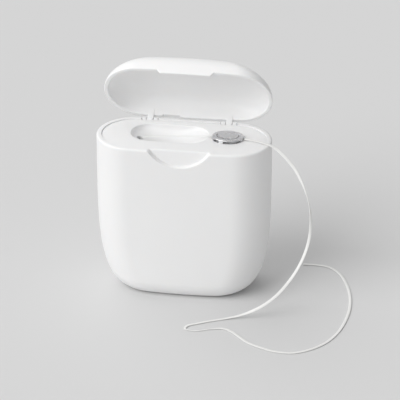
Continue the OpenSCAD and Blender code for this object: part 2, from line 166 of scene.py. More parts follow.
class DeckSettings(PropertyGroup):
    drop: size("Drop", 0.3, "How far the deck lies below the rim")
    plate: size("Plate", 1.4, "Thickness of the deck")
    play: size("Play", 0.04, "Gap between the deck and the case")
    skirt_wall: size("Skirt wall", 1.2, "Thickness of the skirt")
    edge_round: size("Edge rounding", 0.06, "Rounding of the deck's outer edge")
    recess_length: size("Recess length", 23, "Length of the finger recess")
    recess_width: size("Recess width", 11.4, "Width of the finger recess")
    recess_depth: size("Recess depth", 4, "Greatest depth of the finger recess")
    recess_deepest: number("Deepest place", 0.5, "Share of its length at which it is deepest")
    recess_plunge: number("Plunge", 1.3, "Roundness of its fall from the left, where 2 is an ellipse")
    recess_fade: number("Fade", 1, "Slackness of its rise to the right, where 1 is a cosine")
    recess_start: size("Recess start", 16, "Distance of its left end from the middle")
    recess_y: size("Recess place", 1.7, "How far it lies behind the middle")
    recess_round: size("Recess rounding", 0.3, "Rounding of its edge")
    recess_wall: size("Recess wall", 1.1, "Wall under it")
    outlet_d: size("Outlet", 1.8, "Diameter of the floss outlet")
    outlet_offset: size("Outlet offset", 2.5, "Distance of the outlet from the recess's left end")
    arm_wall: size("Arm wall", 1.1, "Thickness of the arms that carry the bobbin")
    arm_width: size("Arm width", 10, "Width of the arms")
    arm_play: size("Arm play", 0.25, "Gap between the arms and the case")
    stub_r: size("Stub radius", 3.92, "Radius of the stubs the bobbin turns on")
    stub_reach: size("Stub reach", 3, "Reach of the stubs from the arms")
    rest_length: size("Rest length", 5, "Length of the block that the strand is pressed against")
    rest_width: size("Rest width", 3, "Width of that block")
    rest_rise: size("Rest rise", 0.12, "How far the block stands above the deck")
    hook_width: size("Hook width", 1.3, "Width of the hook that shows in the cap's front")
    hook_foot: size("Hook foot", 0.8, "Depth of the hook's foot")
    hook_gap: size("Hook gap", 0.55, "Gap between the block and the hook")
    hook_x: size("Hook place", 1.65, "How far the hook stands to the left of the cap's middle")
    hook_play: size("Hook play", 0.05, "Gap between the hook and the cap")
    colour: tint("Colour", "#F6F6F6", "Colour of the moulded deck")


class LidSettings(PropertyGroup):
    open_angle: angle("Opening", 65, "Angle that the lid stands open")
    inset_end: size("End inset", 0.9, "How far the lid lies within the case's ends")
    inset_side: size("Side inset", 0.3, "How far it lies within the case's front and back")
    height: size("Height", 7.5, "Height of the lid")
    wall: size("Wall", 1.15, "Wall of the lid")
    gap: size("Gap", 0.5, "Gap between the closed lid and the rim")
    crown_draw: size("Crown draw", 11.9, "How far the crown draws in at each end")
    crown_side: size("Crown side draw", 4, "How far it draws in at the front and back")
    edge_round: size("Edge rounding", 0.28, "Rounding of the lid's lip")
    tab_inset: size("Tab inset", 0.75, "How far the tab's round edge lies within the dish's")
    tab_fade: size("Tab fade", 2.5, "Height above the lip over which the tab runs out")
    tab_drop: size("Tab drop", 1.25, "How far the thumb tab reaches below the lip")
    tab_wall: size("Tab wall", 0.6, "Thickness of the thumb tab")
    slot_length: size("Slot length", 5.4, "Length of the slot in the lid's back")
    slot_gap: size("Slot gap", 1.1, "Distance of the slot from the left knuckle's inner ear")
    slot_height: size("Slot height", 0.5, "Height of the slot")
    hinge_x: size("Hinge place", 11.85, "Distance of each hinge from the middle")
    hinge_y: size("Hinge depth", 10.9, "How far the hinge axis lies behind the middle")
    hinge_z: size("Hinge height", 47.65, "Height of the hinge axis")
    ear_r: size("Ear radius", 1.2, "Radius of the hinge ears")
    ear_width: size("Ear width", 1.3, "Thickness of each hinge ear")
    knuckle: size("Knuckle width", 1.8, "Width of the lid's knuckles")
    knuckle_play: size("Knuckle play", 0.15, "Play between a knuckle and its ears")
    pin_r: size("Pin radius", 0.55, "Radius of the moulded pins")
    pin_play: size("Pin play", 0.05, "Gap between a pin and its bore")
    window_play: size("Window play", 0.25, "Gap between the hinge ears and their windows in the rim")
    colour: tint("Colour", "#F8F8F8", "Colour of the moulded lid")


class CutterSettings(PropertyGroup):
    length: size("Length", 9.3, "Length of the cutter cap")
    width: size("Width", 7.2, "Width of the cutter cap")
    rise: size("Rise", 0.95, "Height of the cap above the deck")
    sheet: size("Sheet", 0.3, "Thickness of the sheet metal")
    seat: size("Seat", 0.4, "Depth of the cap's seat in the deck")
    x: size("Place along", 12.9, "Distance of the cap from the middle")
    y: size("Place behind", 0.6, "How far the cap lies behind the middle")
    roll: size("Rolled edge", 0.16, "Rounding of the cap's edge")
    bow: size("Bow", 0.5, "Bulge of its long sides beyond the round ends")
    seat_play: size("Seat play", 0.05, "Gap between the cap and its seat")
    slit: size("Slit", 0.25, "Width of the slit round the tongue")
    slit_margin: size("Slit margin", 1.3, "Distance of the slit from the cap's edge")
    slit_end: size("Slit ends", 0.9, "How far behind the cap's middle the slit ends")
    gate: size("Gate", 1.55, "Width of the openings that the strand passes")
    front_gap: size("Front opening", 8.2, "Length of the low opening in the cap's front")
    colour: tint("Colour", "#E8E8EA", "Colour of the steel")


class FlossSettings(PropertyGroup):
    width: size("Width", 0.85, "Width of the flat strand")
    thickness: size("Thickness", 0.26, "Thickness of the flat strand")
    held_share: number("Held share", 0.45, "Share of its width where it is drawn taut over the recess")
    held_thickness: size("Held thickness", 0.12, "Thickness where the strand is held taut and flat")
    spread_x: size("Spread place", 6, "Place to the right of the middle where it starts to spread")
    spread_length: size("Spread length", 4, "Length over which it spreads to its full width")
    twist: angle("Twist", 56, "Twist of the strand past the rim and again at the floor")
    leave_from: size("Leaves at", 8, "Distance along the strand where it starts to twist past the rim")
    leave_length: size("Leaving length", 5, "Length over which it takes the first twist")
    fall_from: size("Falls from", 16, "Distance along the strand where the second twist starts")
    fall_length: size("Falling length", 14, "Length over which it takes the second twist")
    sway: angle("Sway", 32, "Further twist where the strand hangs steepest")
    sway_length: size("Sway length", 9, "Length along the strand that sets where the sway lies")
    land_z: size("Landing height", 0.4, "Height at which it lies flat again")
    land_height: size("Landing span", 3, "Height over which it turns flat")
    turn_from: number("Turn from", 19, "Point of the strand's route where it starts to slim")
    turn_to: number("Turn to", 23, "Point of the strand's route where it is full again")
    slim_length: size("Slim length", 4, "Length over which it slims and fills out")
    slim: number("Slim share", 0.55, "Share of its width and thickness lost where it turns on the floor")
    bobbin_z: size("Bobbin height", 21, "Height of the bobbin's axle")
    winding_r: size("Winding radius", 15.5, "Radius of the floss winding")
    core_r: size("Core radius", 5.55, "Radius of the winding's core")
    winding_half: size("Winding half width", 6.8, "Half of the winding's width")
    colour: tint("Colour", "#F7F7F5", "Colour of the waxed floss")


class DispenserSettings(PropertyGroup):
    stage: PointerProperty(type=StageSettings)
    case: PointerProperty(type=CaseSettings)
    deck: PointerProperty(type=DeckSettings)
    lid: PointerProperty(type=LidSettings)
    cutter: PointerProperty(type=CutterSettings)
    floss: PointerProperty(type=FlossSettings)


def linear(hex_colour, share=1):
    """Linear RGBA of a share of an sRGB hex value."""
    parts = [int(hex_colour[i:i + 2], 16) / 255 for i in (1, 3, 5)]
    curve = [p / 12.92 if p <= 0.04045 else ((p + 0.055) / 1.055) ** 2.4 for p in parts]
    return [share * c for c in curve] + [1.0]


def node(tree, kind, links=(), **settings):
    """Adds a node. settings are its own properties or sockets by name; links are (socket, source)."""
    made = tree.nodes.new(kind)
    for name, value in settings.items():
        if hasattr(made, name):
            setattr(made, name, value)
        else:
            made.inputs[name.replace("_", " ")].default_value = value
    for socket, source in links:
        tree.links.new(source, made.inputs[socket])
    return made


def new_material(name):
    """An empty node material and its output node."""
    material = bpy.data.materials.new(name)
    material.use_nodes = True
    material.node_tree.nodes.clear()
    return material, node(material.node_tree, "ShaderNodeOutputMaterial")


def moulded_polypropylene(name, colour, roughness, grain=0.35, depth=0.012):
    """Polypropylene, injection moulded in a finely sparked tool.

    The eye gets a soft satin white with a broad dull highlight, a fine grain that only shows at
    grazing light, and slow drifts in gloss where the melt flowed. The real grain is near 0.05 mm
    and is drawn coarser so that it shows.
    """
    material, out = new_material(name)
    tree = material.node_tree
    place = node(tree, "ShaderNodeTexCoord")
    fine = node(
        tree, "ShaderNodeTexNoise", [("Vector", place.outputs["Object"])],
        Scale=1 / (grain * MM), Detail=3.0, Roughness=0.55,
    )
    flow = node(
        tree, "ShaderNodeTexNoise", [("Vector", place.outputs["Object"])],
        Scale=1 / (14 * MM), Detail=2.0, Roughness=0.5,
    )
    gloss = node(
        tree, "ShaderNodeMapRange", [("Value", flow.outputs["Fac"])],
        To_Min=roughness - 0.05, To_Max=roughness + 0.07,
    )
    mix = node(tree, "ShaderNodeMix", [("Factor", flow.outputs["Fac"])], data_type="RGBA")
    mix.inputs[6].default_value = linear(colour, 0.975)
    mix.inputs[7].default_value = linear(colour)
    bump = node(
        tree, "ShaderNodeBump", [("Height", fine.outputs["Fac"])], Strength=0.35, Distance=depth * MM,
    )
    shader = node(
        tree, "ShaderNodeBsdfPrincipled",
        [
            ("Base Color", mix.outputs[2]), ("Roughness", gloss.outputs["Result"]),
            ("Normal", bump.outputs["Normal"]),
        ],
        IOR=1.49, Subsurface_Weight=0.12, Subsurface_Scale=0.6 * MM, Subsurface_Radius=(1.0, 0.9, 0.8),
    )
    tree.links.new(shader.outputs["BSDF"], out.inputs["Surface"])
    return material


def stamped_stainless_steel(name, colour):
    """Stainless steel sheet, rolled, stamped and barrel polished.

    The eye gets a grey metal with a soft streaky sheen along the rolling direction, worn a little
    brighter and smoother in patches. Rolling lines are near 0.03 mm and are drawn at 0.15 mm.
    """
    material, out = new_material(name)
    tree = material.node_tree
    place = node(tree, "ShaderNodeTexCoord")
    squeezed = node(
        tree, "ShaderNodeMapping", [("Vector", place.outputs["Object"])], Scale=(0.12, 1.0, 1.0),
    )
    streaks = node(
        tree, "ShaderNodeTexNoise", [("Vector", squeezed.outputs["Vector"])],
        Scale=1 / (0.15 * MM), Detail=4.0, Roughness=0.6,
    )
    patches = node(
        tree, "ShaderNodeTexNoise", [("Vector", place.outputs["Object"])],
        Scale=1 / (1.6 * MM), Detail=2.0, Roughness=0.5,
    )
    gloss = node(
        tree, "ShaderNodeMapRange", [("Value", patches.outputs["Fac"])],
        From_Min=0.3, From_Max=0.7, To_Min=0.22, To_Max=0.42,
    )
    mix = node(tree, "ShaderNodeMix", [("Factor", streaks.outputs["Fac"])], data_type="RGBA")
    mix.inputs[6].default_value = linear(colour, 0.78)
    mix.inputs[7].default_value = linear(colour)
    bump = node(
        tree, "ShaderNodeBump", [("Height", streaks.outputs["Fac"])], Strength=0.4, Distance=0.01 * MM,
    )
    shader = node(
        tree, "ShaderNodeBsdfPrincipled",
        [
            ("Base Color", mix.outputs[2]), ("Roughness", gloss.outputs["Result"]),
            ("Normal", bump.outputs["Normal"]),
        ],
        Metallic=1.0,
    )
    tree.links.new(shader.outputs["BSDF"], out.inputs["Surface"])
    return material


def waxed_nylon_floss(name, colour):
    """Waxed multifilament nylon tape.

    The eye gets a bright white tape with fine lengthwise filaments and a faint waxy sheen. A
    filament is near 0.02 mm and is drawn as ridges of 0.09 mm across the tape's own UV map.
    """
    material, out = new_material(name)
    tree = material.node_tree
    place = node(tree, "ShaderNodeUVMap", uv_map="along")
    stretched = node(
        tree, "ShaderNodeMapping", [("Vector", place.outputs["UV"])], Scale=(1.0, 0.06, 1.0),
    )
    filaments = node(
        tree, "ShaderNodeTexNoise", [("Vector", stretched.outputs["Vector"])],
        Scale=1 / (0.09 * MM), Detail=3.0, Roughness=0.6,
    )
    mix = node(tree, "ShaderNodeMix", [("Factor", filaments.outputs["Fac"])], data_type="RGBA")
    mix.inputs[6].default_value = linear(colour, 0.9)
    mix.inputs[7].default_value = linear(colour)
    bump = node(
        tree, "ShaderNodeBump", [("Height", filaments.outputs["Fac"])], Strength=0.5, Distance=0.03 * MM,
    )
    shader = node(
        tree, "ShaderNodeBsdfPrincipled",
        [("Base Color", mix.outputs[2]), ("Normal", bump.outputs["Normal"])],
        Roughness=0.45, IOR=1.45, Sheen_Weight=0.15,
    )
    tree.links.new(shader.outputs["BSDF"], out.inputs["Surface"])
    return material


def matt_tabletop(name, colour):
    """Matt painted board. The eye gets an even pale grey that keeps the soft shadow."""
    material, out = new_material(name)
    tree = material.node_tree
    shader = node(
        tree, "ShaderNodeBsdfPrincipled",
        Roughness=0.9, Specular_IOR_Level=0.1, Base_Color=linear(colour),
    )
    tree.links.new(shader.outputs["BSDF"], out.inputs["Surface"])
    return material


def smoothstep(share):
    """Rises from 0 to 1 along 3t^2 - 2t^3."""
    t = np.clip(share, 0, 1)
    return t * t * (3 - 2 * t)


def outline(half_x, half_y, bow, front, end, back):
    """Points round a long oval of four tangent arcs, anticlockwise from the front's left end.

    half_x and half_y are one pair of half sizes a row. The end arcs have the radius half_y - bow,
    and the long arcs the radius that touches both ends and swells by bow. front, end and back are
    shares along each arc. Returns rows x columns x 2.
    """
    half_x = np.reshape(half_x, (-1, 1))
    half_y = np.reshape(half_y, (-1, 1))
    end_r = half_y - bow
    end_x = half_x - end_r
    side_r = (end_x**2 + half_y**2 - end_r**2) / (2 * bow)
    turn = np.arcsin(end_x / (side_r - end_r))
    lean = (2 * front - 1) * turn
    back_lean = (1 - 2 * back) * turn
    swing = (2 * end - 1) * (math.pi / 2 - turn)
    end_px = end_x + end_r * np.cos(swing)
    end_py = end_r * np.sin(swing)
    x = np.hstack([side_r * np.sin(lean), end_px, side_r * np.sin(back_lean), -end_px])
    y = np.hstack([
        side_r - half_y - side_r * np.cos(lean),
        end_py,
        half_y - side_r + side_r * np.cos(back_lean),
        -end_py,
    ])
    return np.stack([x, y], axis=-1)


def shares(count):
    """Even shares from 0 up to but not including 1."""
    return np.arange(count) / count


def stops(*runs):
    """Rising values through runs of (start, stop, step), then made shares of the whole span."""
    values = np.unique(np.round(np.concatenate([np.arange(a, b + s / 2, s) for a, b, s in runs]), 4))
    return ((values - values[0]) / (values[-1] - values[0]))[:-1]


def rings_at(plan, z):
    """Lifts rows x columns x 2 points to the height of each row, or of each point."""
    z = np.broadcast_to(np.reshape(z, (len(z), -1)), plan.shape[:2])
    return np.concatenate([plan, z[..., None]], axis=-1)


def shell(rings, close_rows=False, fans=True):
    """Closed skin over rows of closed rings, with a fan to the middle at both ends.

    With close_rows the last ring joins the first, as on a tube bent to a ring, and has no fans.
    Without fans both end rings are already drawn together to a line, whose two sides then merge.
    """
    rows, columns = rings.shape[:2]
    grid = np.arange(rows * columns).reshape(rows, columns)
    if close_rows:
        grid = np.vstack([grid, grid[:1]])
    side = np.roll(grid, -1, axis=1)
    quads = np.stack([grid[:-1], side[:-1], side[1:], grid[1:]], axis=-1).reshape(-1, 4)
    points = rings.reshape(-1, 3)
    if close_rows or not fans:
        return points, [quads]
    middles = np.stack([rings[0].mean(axis=0), rings[-1].mean(axis=0)])
    first = rows * columns
    start = np.stack([np.full(columns, first), side[0], grid[0]], axis=-1)
    stop = np.stack([np.full(columns, first + 1), grid[-1], side[-1]], axis=-1)
    return np.vstack([points, middles]), [quads, start, stop]


def bar(profile, low, high, edge, axis="X"):
    """Flat outline carried from low to high along an axis, its two rims rounded by edge.

    The rims are quarter circles of four rings: each ring moves in by edge * (1 - cos t) along the
    outline's normals while it moves out by edge * sin t along the axis.
    """
    ahead = np.roll(profile, -1, axis=0) - profile
    ahead /= np.linalg.norm(ahead, axis=1, keepdims=True)
    normal = np.stack([ahead[:, 1], -ahead[:, 0]], axis=-1)
    normal = normal + np.roll(normal, 1, axis=0)
    normal /= np.maximum(np.linalg.norm(normal, axis=1, keepdims=True), 1e-9)
    turn = np.radians([90, 60, 30, 0])
    inset = np.concatenate([edge * (1 - np.cos(turn)), edge * (1 - np.cos(turn[::-1]))])
    along = np.concatenate([
        low + edge * (1 - np.sin(turn)),
        high - edge * (1 - np.sin(turn[::-1])),
    ])
    flat = profile[None] - normal[None] * inset[:, None, None]
    depth = np.broadcast_to(along[:, None], flat.shape[:2])
    if axis == "X":
        rings = np.stack([depth, flat[..., 0], flat[..., 1]], axis=-1)
    elif axis == "Y":
        rings = np.stack([flat[..., 1], depth, flat[..., 0]], axis=-1)
    else:
        rings = np.stack([flat[..., 0], flat[..., 1], depth], axis=-1)
    return shell(rings)


def circle(radius, centre=(0, 0), count=48):
    """Anticlockwise circle of points in a plane."""
    t = 2 * math.pi * shares(count)
    return np.stack([centre[0] + radius * np.cos(t), centre[1] + radius * np.sin(t)], axis=-1)


def box_outline(low, high, radius, count=5):
    """Anticlockwise rectangle of points with round corners."""
    corners = ((high[0], low[1], -90), (high[0], high[1], 0), (low[0], high[1], 90), (low[0], low[1], 180))
    rows = []
    for x, y, start in corners:
        t = np.radians(start + 90 * np.arange(count + 1) / count)
        inward = radius * np.array([-1 if x == high[0] else 1, -1 if y == high[1] else 1])
        rows.append(np.array([x, y]) + inward + radius * np.stack([np.cos(t), np.sin(t)], axis=-1))
    return np.vstack(rows)


def build(name, shells):
    """Makes one object of closed skins, with doubled points merged and normals outwards."""
    points = []
    faces = []
    first = 0
    for verts, groups in shells:
        points.append(verts)
        for group in groups:
            faces += (group + first).tolist()
        first += len(verts)
    mesh = bpy.data.meshes.new(name)
    mesh.from_pydata(np.vstack(points).tolist(), [], faces)
    made = bpy.data.objects.new(name, mesh)
    bpy.context.collection.objects.link(made)
    tidy(mesh)
    return made


def tidy(mesh, distance=1e-7):
    """Merges doubled points, drops faces that have shrunk to nothing and turns the rest outwards."""
    work = bmesh.new()
    work.from_mesh(mesh)
    bmesh.ops.remove_doubles(work, verts=work.verts, dist=distance)
    bmesh.ops.dissolve_degenerate(work, edges=work.edges, dist=distance)
    bmesh.ops.recalc_face_normals(work, faces=work.faces)
    work.to_mesh(mesh)
    work.free()


def shade(piece, angle=32):
    """Smooth faces with edges kept sharp where they turn by more than an angle in degrees."""
    piece.data.shade_smooth()
    piece.data.set_sharp_from_angle(angle=math.radians(angle))


def combine(piece, tools, operation="DIFFERENCE"):
    """Cuts tools from a piece, or joins them to it, as solids, and deletes the tools."""
    for tool in tools:
        step = piece.modifiers.new("combine", "BOOLEAN")
        step.operation = operation
        step.solver = "MANIFOLD"
        step.object = tool
    bpy.context.view_layer.update()
    depsgraph = bpy.context.evaluated_depsgraph_get()
    mesh = bpy.data.meshes.new_from_object(piece.evaluated_get(depsgraph), depsgraph=depsgraph)
    old = piece.data
    piece.modifiers.clear()
    piece.data = mesh
    mesh.name = piece.name
    bpy.data.meshes.remove(old)
    for tool in tools:
        data = tool.data
        bpy.data.objects.remove(tool)
        bpy.data.meshes.remove(data)
    if open_edges(mesh):
        raise ValueError(f"{piece.name} isn't closed")
    return piece


def open_edges(mesh):
    """How many edges don't join exactly two faces."""
    work = bmesh.new()
    work.from_mesh(mesh)
    count = sum(not edge.is_manifold for edge in work.edges)
    work.free()
    return count


def finish_piece(piece, body, slot, material, *nodes):
    """Gives a piece its material and its body, and hides the nodes that it stands for. The slot is not
    used.
    """
    piece.data.materials.clear()
    piece.data.materials.append(material)
    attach(piece, body)
    if nodes:
        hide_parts(*nodes)
    return piece


def drawn(share, power):
    """Share of a draw at a share of its rise: 1 - (1 - u^p)^(1/p), a superellipse's quarter."""
    u = np.clip(share, 0, 1)
    return 1 - (1 - u**power) ** (1 / power)


def dish_plane(case, z):
    """Y of the thumb dish's face at a height. It leans back towards the rim."""
    lean = (case.dish_rim - case.dish_low) / case.dish_height
    return -HALF_D + case.dish_rim - lean * (RIM_Z - z)


def dish_share(case, x, z, grown):
    """1 inside the dish's round edge and 0 outside it, with a soft step of dish_edge between."""
    centre_z = RIM_Z - case.dish_height + case.dish_radius
    inside = case.dish_radius + grown - np.hypot(x, z - centre_z)
    return smoothstep(inside / case.dish_edge + 0.5)


def case_rings(case):
    """The case's skin: up the outside, over the rim and down the inside to the floor.

    Each ring is an oval whose half sizes are the case's less a draw and an inset. In front, rings
    near the rim are pushed back to the dish's plane, more the further through the wall they lie:
    0 on the outside, up to outer_share over the rim, and 1 on the inside less inner_share at the lip.
    """
    level = np.linspace(0, 1, 46) ** 2.1
    dish_from = RIM_Z - case.dish_height - 0.9 * MM
    wall_z = np.arange(dish_from, RIM_Z - case.rim_round, 0.11 * MM)
    straight = (case.foot_rise + 2.4 * MM, case.foot_rise + 4.4 * MM)
    outer_z = np.concatenate([level * case.foot_rise, straight, wall_z])
    turn = np.radians(np.arange(0, 91, 15))
    rim_z = RIM_Z - case.rim_round * (1 - np.sin(turn))
    rim_in = case.rim_round * (1 - np.cos(turn))
    inner_turn = np.radians(np.arange(0, 91, 22.5))
    lip_in = case.wall - case.inner_round * (1 - np.sin(inner_turn))
    lip_z = RIM_Z - case.inner_round * (1 - np.cos(inner_turn))
    inner_z = np.concatenate([wall_z[::-1][2:], [case.ledge_z + 0.05 * MM, case.ledge_z]])
    hollow = case.wall + case.ledge
    hollow_z = case.floor + (case.foot_rise - case.floor) * level[::-2]
    hollow_z = np.concatenate([[case.ledge_z, straight[0]], hollow_z])

    z = np.concatenate([outer_z, rim_z, lip_z, inner_z, hollow_z])
    inset = np.concatenate([
        0 * outer_z, rim_in, lip_in, 0 * inner_z + case.wall, 0 * hollow_z + hollow,
    ])
    outer_share = 0.22
    inner_share = 0.16
    through = np.concatenate([
        0 * outer_z, outer_share * (1 - np.cos(turn)), 1 - inner_share * (1 - np.sin(inner_turn)),
        1 + 0 * inner_z, 1 + 0 * hollow_z,
    ])
    low = np.where(np.arange(len(z)) >= len(z) - len(hollow_z), case.floor, 0)
    end_draw = case.foot_draw * drawn((case.foot_rise - z) / (case.foot_rise - low), case.foot_power)
    side_draw = case.side_draw * drawn((case.side_rise + low - z) / case.side_rise, 2)

    front = stops((-15.4, -10.4, 0.5), (-10.4, 10.4, 0.13), (10.4, 15.4, 0.5))
    back = stops((-15.4, 15.4, 0.7))
    half_x = HALF_L - inset - end_draw
    half_y = HALF_D - inset - side_draw
    plan = outline(half_x, half_y, case.bow, front, shares(44), back)
    x = plan[..., 0]
    y = plan[..., 1]
    wall_row = through[:, None]
    face = dish_plane(case, z)[:, None] + wall_row * case.dish_wall
    share = dish_share(case, x, z[:, None], wall_row * case.dish_wall)
    in_front = y < 0
    near_rim = z[:, None] > dish_from - PAST / 2
    pushed = y + np.maximum(face - y, 0) * share
    plan[..., 1] = np.where(in_front & near_rim, pushed, y)
    return rings_at(plan, z)


def hinge_reach(lid):
    """Half width of a whole hinge: knuckle, play and ear."""
    return lid.knuckle / 2 + lid.knuckle_play + lid.ear_width


def hinge_windows(case, lid):
    """Blocks that cut the windows in the rim's back through which the hinge ears pass."""
    half = hinge_reach(lid) + lid.window_play
    tools = []
    for side in (-1, 1):
        low = (side * lid.hinge_x - half, HALF_D - case.wall - PAST)
        high = (side * lid.hinge_x + half, HALF_D + PAST / 2)
        profile = box_outline(low, high, 0.1 * MM)
        bottom = lid.hinge_z - lid.ear_r - lid.window_play
        tools.append(build("window", [bar(profile, bottom, RIM_Z + 2 * PAST, 0.05 * MM, "Z")]))
    return tools


def recess_values(deck, x, y):
    """Depth of the finger recess below the deck, for points inside its plan.

    Along x it falls from the left end to its deepest place as the root of 1 - u^plunge, where u is
    the share still to go, then rises to the right end as a cosine to the power of fade. Across y
    each section is half an ellipse.
    """
    left = -deck.recess_start
    right = left + deck.recess_length
    deepest = left + deck.recess_deepest * deck.recess_length
    descent = np.clip((deepest - x) / (deepest - left), 0, 1)
    fall_left = np.sqrt(1 - descent**deck.recess_plunge)
    rise = np.clip((x - deepest) / (right - deepest), 0, 1)
    fall_right = np.cos(math.pi / 2 * rise) ** deck.recess_fade
    fall = deck.recess_depth * np.where(x < deepest, fall_left, fall_right)
    half = recess_half(deck, x)
    ratio = np.clip((y - deck.recess_y) / np.maximum(half, 1e-6), -1, 1)
    return fall, np.sqrt(1 - ratio**2)


def recess_half(deck, x):
    """Half width of the recess in plan at x: a long oval with round ends."""
    radius = deck.recess_width / 2
    left = -deck.recess_start
    inside = np.clip(np.minimum(x - left, left + deck.recess_length - x), 0, radius)
    return np.sqrt(radius**2 - (radius - inside) ** 2)


def recess_plan(deck, share, grown, columns):
    """Plan of the recess shrunk towards its middle line by a share, or grown by a wall."""
    radius = deck.recess_width / 2
    middle = -deck.recess_start + deck.recess_length / 2
    straight = deck.recess_length / 2 - radius
    flat = 1e-5 * MM
    reach = np.maximum(radius * share + grown, 2 * flat)
    plan = outline(straight + reach, reach, flat, *columns)
    return plan + np.array([middle, deck.recess_y])


def deck_level(deck):
    """Height of the deck's top."""
    return RIM_Z - deck.drop


def deck_rings(deck, case):
    """The deck's skin: out of the recess's middle, over the deck, down the skirt and back beneath.

    Rings blend from the recess's plan to the deck's. The recess's lip is a quarter circle as deep
    as the recess allows.
    """
    deck_z = deck_level(deck)
    columns = (shares(84), shares(40), shares(84))
    inset = case.wall + deck.play
    half_x = HALF_L - inset
    half_y = HALF_D - inset
    edge = deck.recess_round

    share = np.sin(np.linspace(0, math.pi / 2, 34))
    inner = recess_plan(deck, share, 0 * share, columns)
    fall, section = recess_values(deck, inner[..., 0], inner[..., 1])
    lip = np.minimum(edge, fall)
    inner_z = deck_z - lip - (fall - lip) * section
    lip_edge = lip[-1:]

    out = np.linspace(0, 1, 6)[1:, None]
    lip_plan = recess_plan(deck, np.ones(5), out[:, 0] * edge, columns)
    lip_z = deck_z - lip_edge * (1 - np.sqrt(np.clip(1 - (1 - out) ** 2, 0, 1)))

    far = outline([half_x - deck.edge_round], [half_y - deck.edge_round], case.bow, *columns)
    blend = (np.linspace(0, 1, 14)[1:] ** 1.3)[:, None, None]
    flat_plan = lip_plan[-1:] * (1 - blend) + far * blend
    flat_z = np.full(flat_plan.shape[:2], deck_z)

    turn = np.radians(np.arange(22.5, 91, 22.5))
    under_z = deck_z - deck.plate
    chamfer_z = case.ledge_z + 0.2 * MM
    chamfer_in = 0.15 * MM
    edge_z = deck_z - deck.edge_round * (1 - np.cos(turn))
    edge_in = deck.edge_round * (1 - np.sin(turn))
    side_z = np.concatenate([edge_z, [under_z, chamfer_z, case.ledge_z]])
    side_in = np.concatenate([edge_in, [0, 0, chamfer_in]])
    skirt_z = np.array([case.ledge_z, chamfer_z, under_z])
    skirt_in = deck.skirt_wall - np.array([chamfer_in, 0, 0])
    side_plan = outline(half_x - side_in, half_y - side_in, case.bow, *columns)
    skirt_plan = outline(half_x - skirt_in, half_y - skirt_in, case.bow, *columns)

    boat_share = np.sin(np.linspace(math.pi / 2, 0, 22))
    boat = recess_plan(deck, boat_share, deck.recess_wall * boat_share, columns)
    boat_x = np.clip(boat[..., 0], -deck.recess_start, deck.recess_length - deck.recess_start)
    boat_fall = recess_values(deck, boat_x, boat[..., 1])[0]
    boat_section = np.sqrt(np.clip(1 - boat_share**2, 0, 1))[:, None]
    boat_z = under_z - np.maximum(boat_fall + deck.recess_wall - deck.plate, 0) * boat_section
    under = np.linspace(0, 1, 8)[1:-1, None, None]
    under_plan = skirt_plan[-1:] * (1 - under) + boat[:1] * under
    under_rows_z = np.full(under_plan.shape[:2], under_z)

    plan = np.concatenate([inner, lip_plan, flat_plan, side_plan, skirt_plan, under_plan, boat])
    z = np.concatenate([
        np.broadcast_to(np.reshape(rows, (len(rows), -1)), (len(rows), plan.shape[1]))
        for rows in (inner_z, lip_z, flat_z, side_z, skirt_z, under_rows_z, boat_z)
    ])
    share = dish_share(case, plan[..., 0], z, case.dish_wall + deck.play)
    face = dish_plane(case, z) + case.dish_wall + deck.play
    is_side = np.zeros(len(z), bool)
    first = len(inner) + len(lip_plan) + len(flat_plan) - 1
    is_side[first:first + len(side_plan) + 1] = True
    y = plan[..., 1]
    pushed = y + np.maximum(face - y, 0) * share
    plan[..., 1] = np.where((y < 0) & is_side[:, None] & (z > case.ledge_z + 1 * MM), pushed, y)
    return rings_at(plan, z)


def ear_profile(lid, reach):
    """Side outline of a hinge ear: a round end about the axis with a foot towards the skirt."""
    t = np.radians(np.arange(-90, 91, 10))
    y = lid.hinge_y + lid.ear_r * np.cos(t)
    z = lid.hinge_z + lid.ear_r * np.sin(t)
    foot = np.array([
        [lid.hinge_y - 0.4 * lid.ear_r, lid.hinge_z + lid.ear_r * 0.9],
        [lid.hinge_y - lid.ear_r, lid.hinge_z],
        [reach, lid.hinge_z],
        [reach, lid.hinge_z - lid.ear_r],
    ])
    return np.vstack([np.stack([y, z], axis=-1), foot])


def deck_fittings(deck, case, lid, floss):
    """Hinge ears, the bobbin's two arms and the stubs on them, as closed bars."""
    skirt_in = HALF_D - case.wall - deck.play - deck.skirt_wall
    half = lid.knuckle / 2 + lid.knuckle_play
    ear_edge = 0.12 * MM
    arm_edge = 0.2 * MM
    stub_edge = 0.25 * MM
    stub_root = 0.3 * MM
    parts = []
    for side in (-1, 1):
        for near in (side * lid.hinge_x - half - lid.ear_width, side * lid.hinge_x + half):
            parts.append(bar(ear_profile(lid, skirt_in), near, near + lid.ear_width, ear_edge))
    arm_out = HALF_D - case.wall - case.ledge - deck.arm_play
    arm_top = deck_level(deck) - deck.plate / 2
    radius = deck.arm_width / 2
    t = np.radians(np.arange(180, 361, 7.5))
    low_end = np.stack([radius * np.cos(t), floss.bobbin_z + radius * np.sin(t)], axis=-1)
    arm = np.vstack([low_end, [[radius, arm_top], [-radius, arm_top]]])
    for side in (-1, 1):
        near, far = sorted((side * arm_out, side * (arm_out - deck.arm_wall)))
        parts.append(bar(arm[:, ::-1], near, far, arm_edge, "Y"))
        stub = circle(deck.stub_r, (floss.bobbin_z, 0))
        stub_in = arm_out - deck.arm_wall - deck.stub_reach
        near, far = sorted((side * (arm_out - stub_root), side * stub_in))
        parts.append(bar(stub, near, far, stub_edge, "Y"))
    return parts


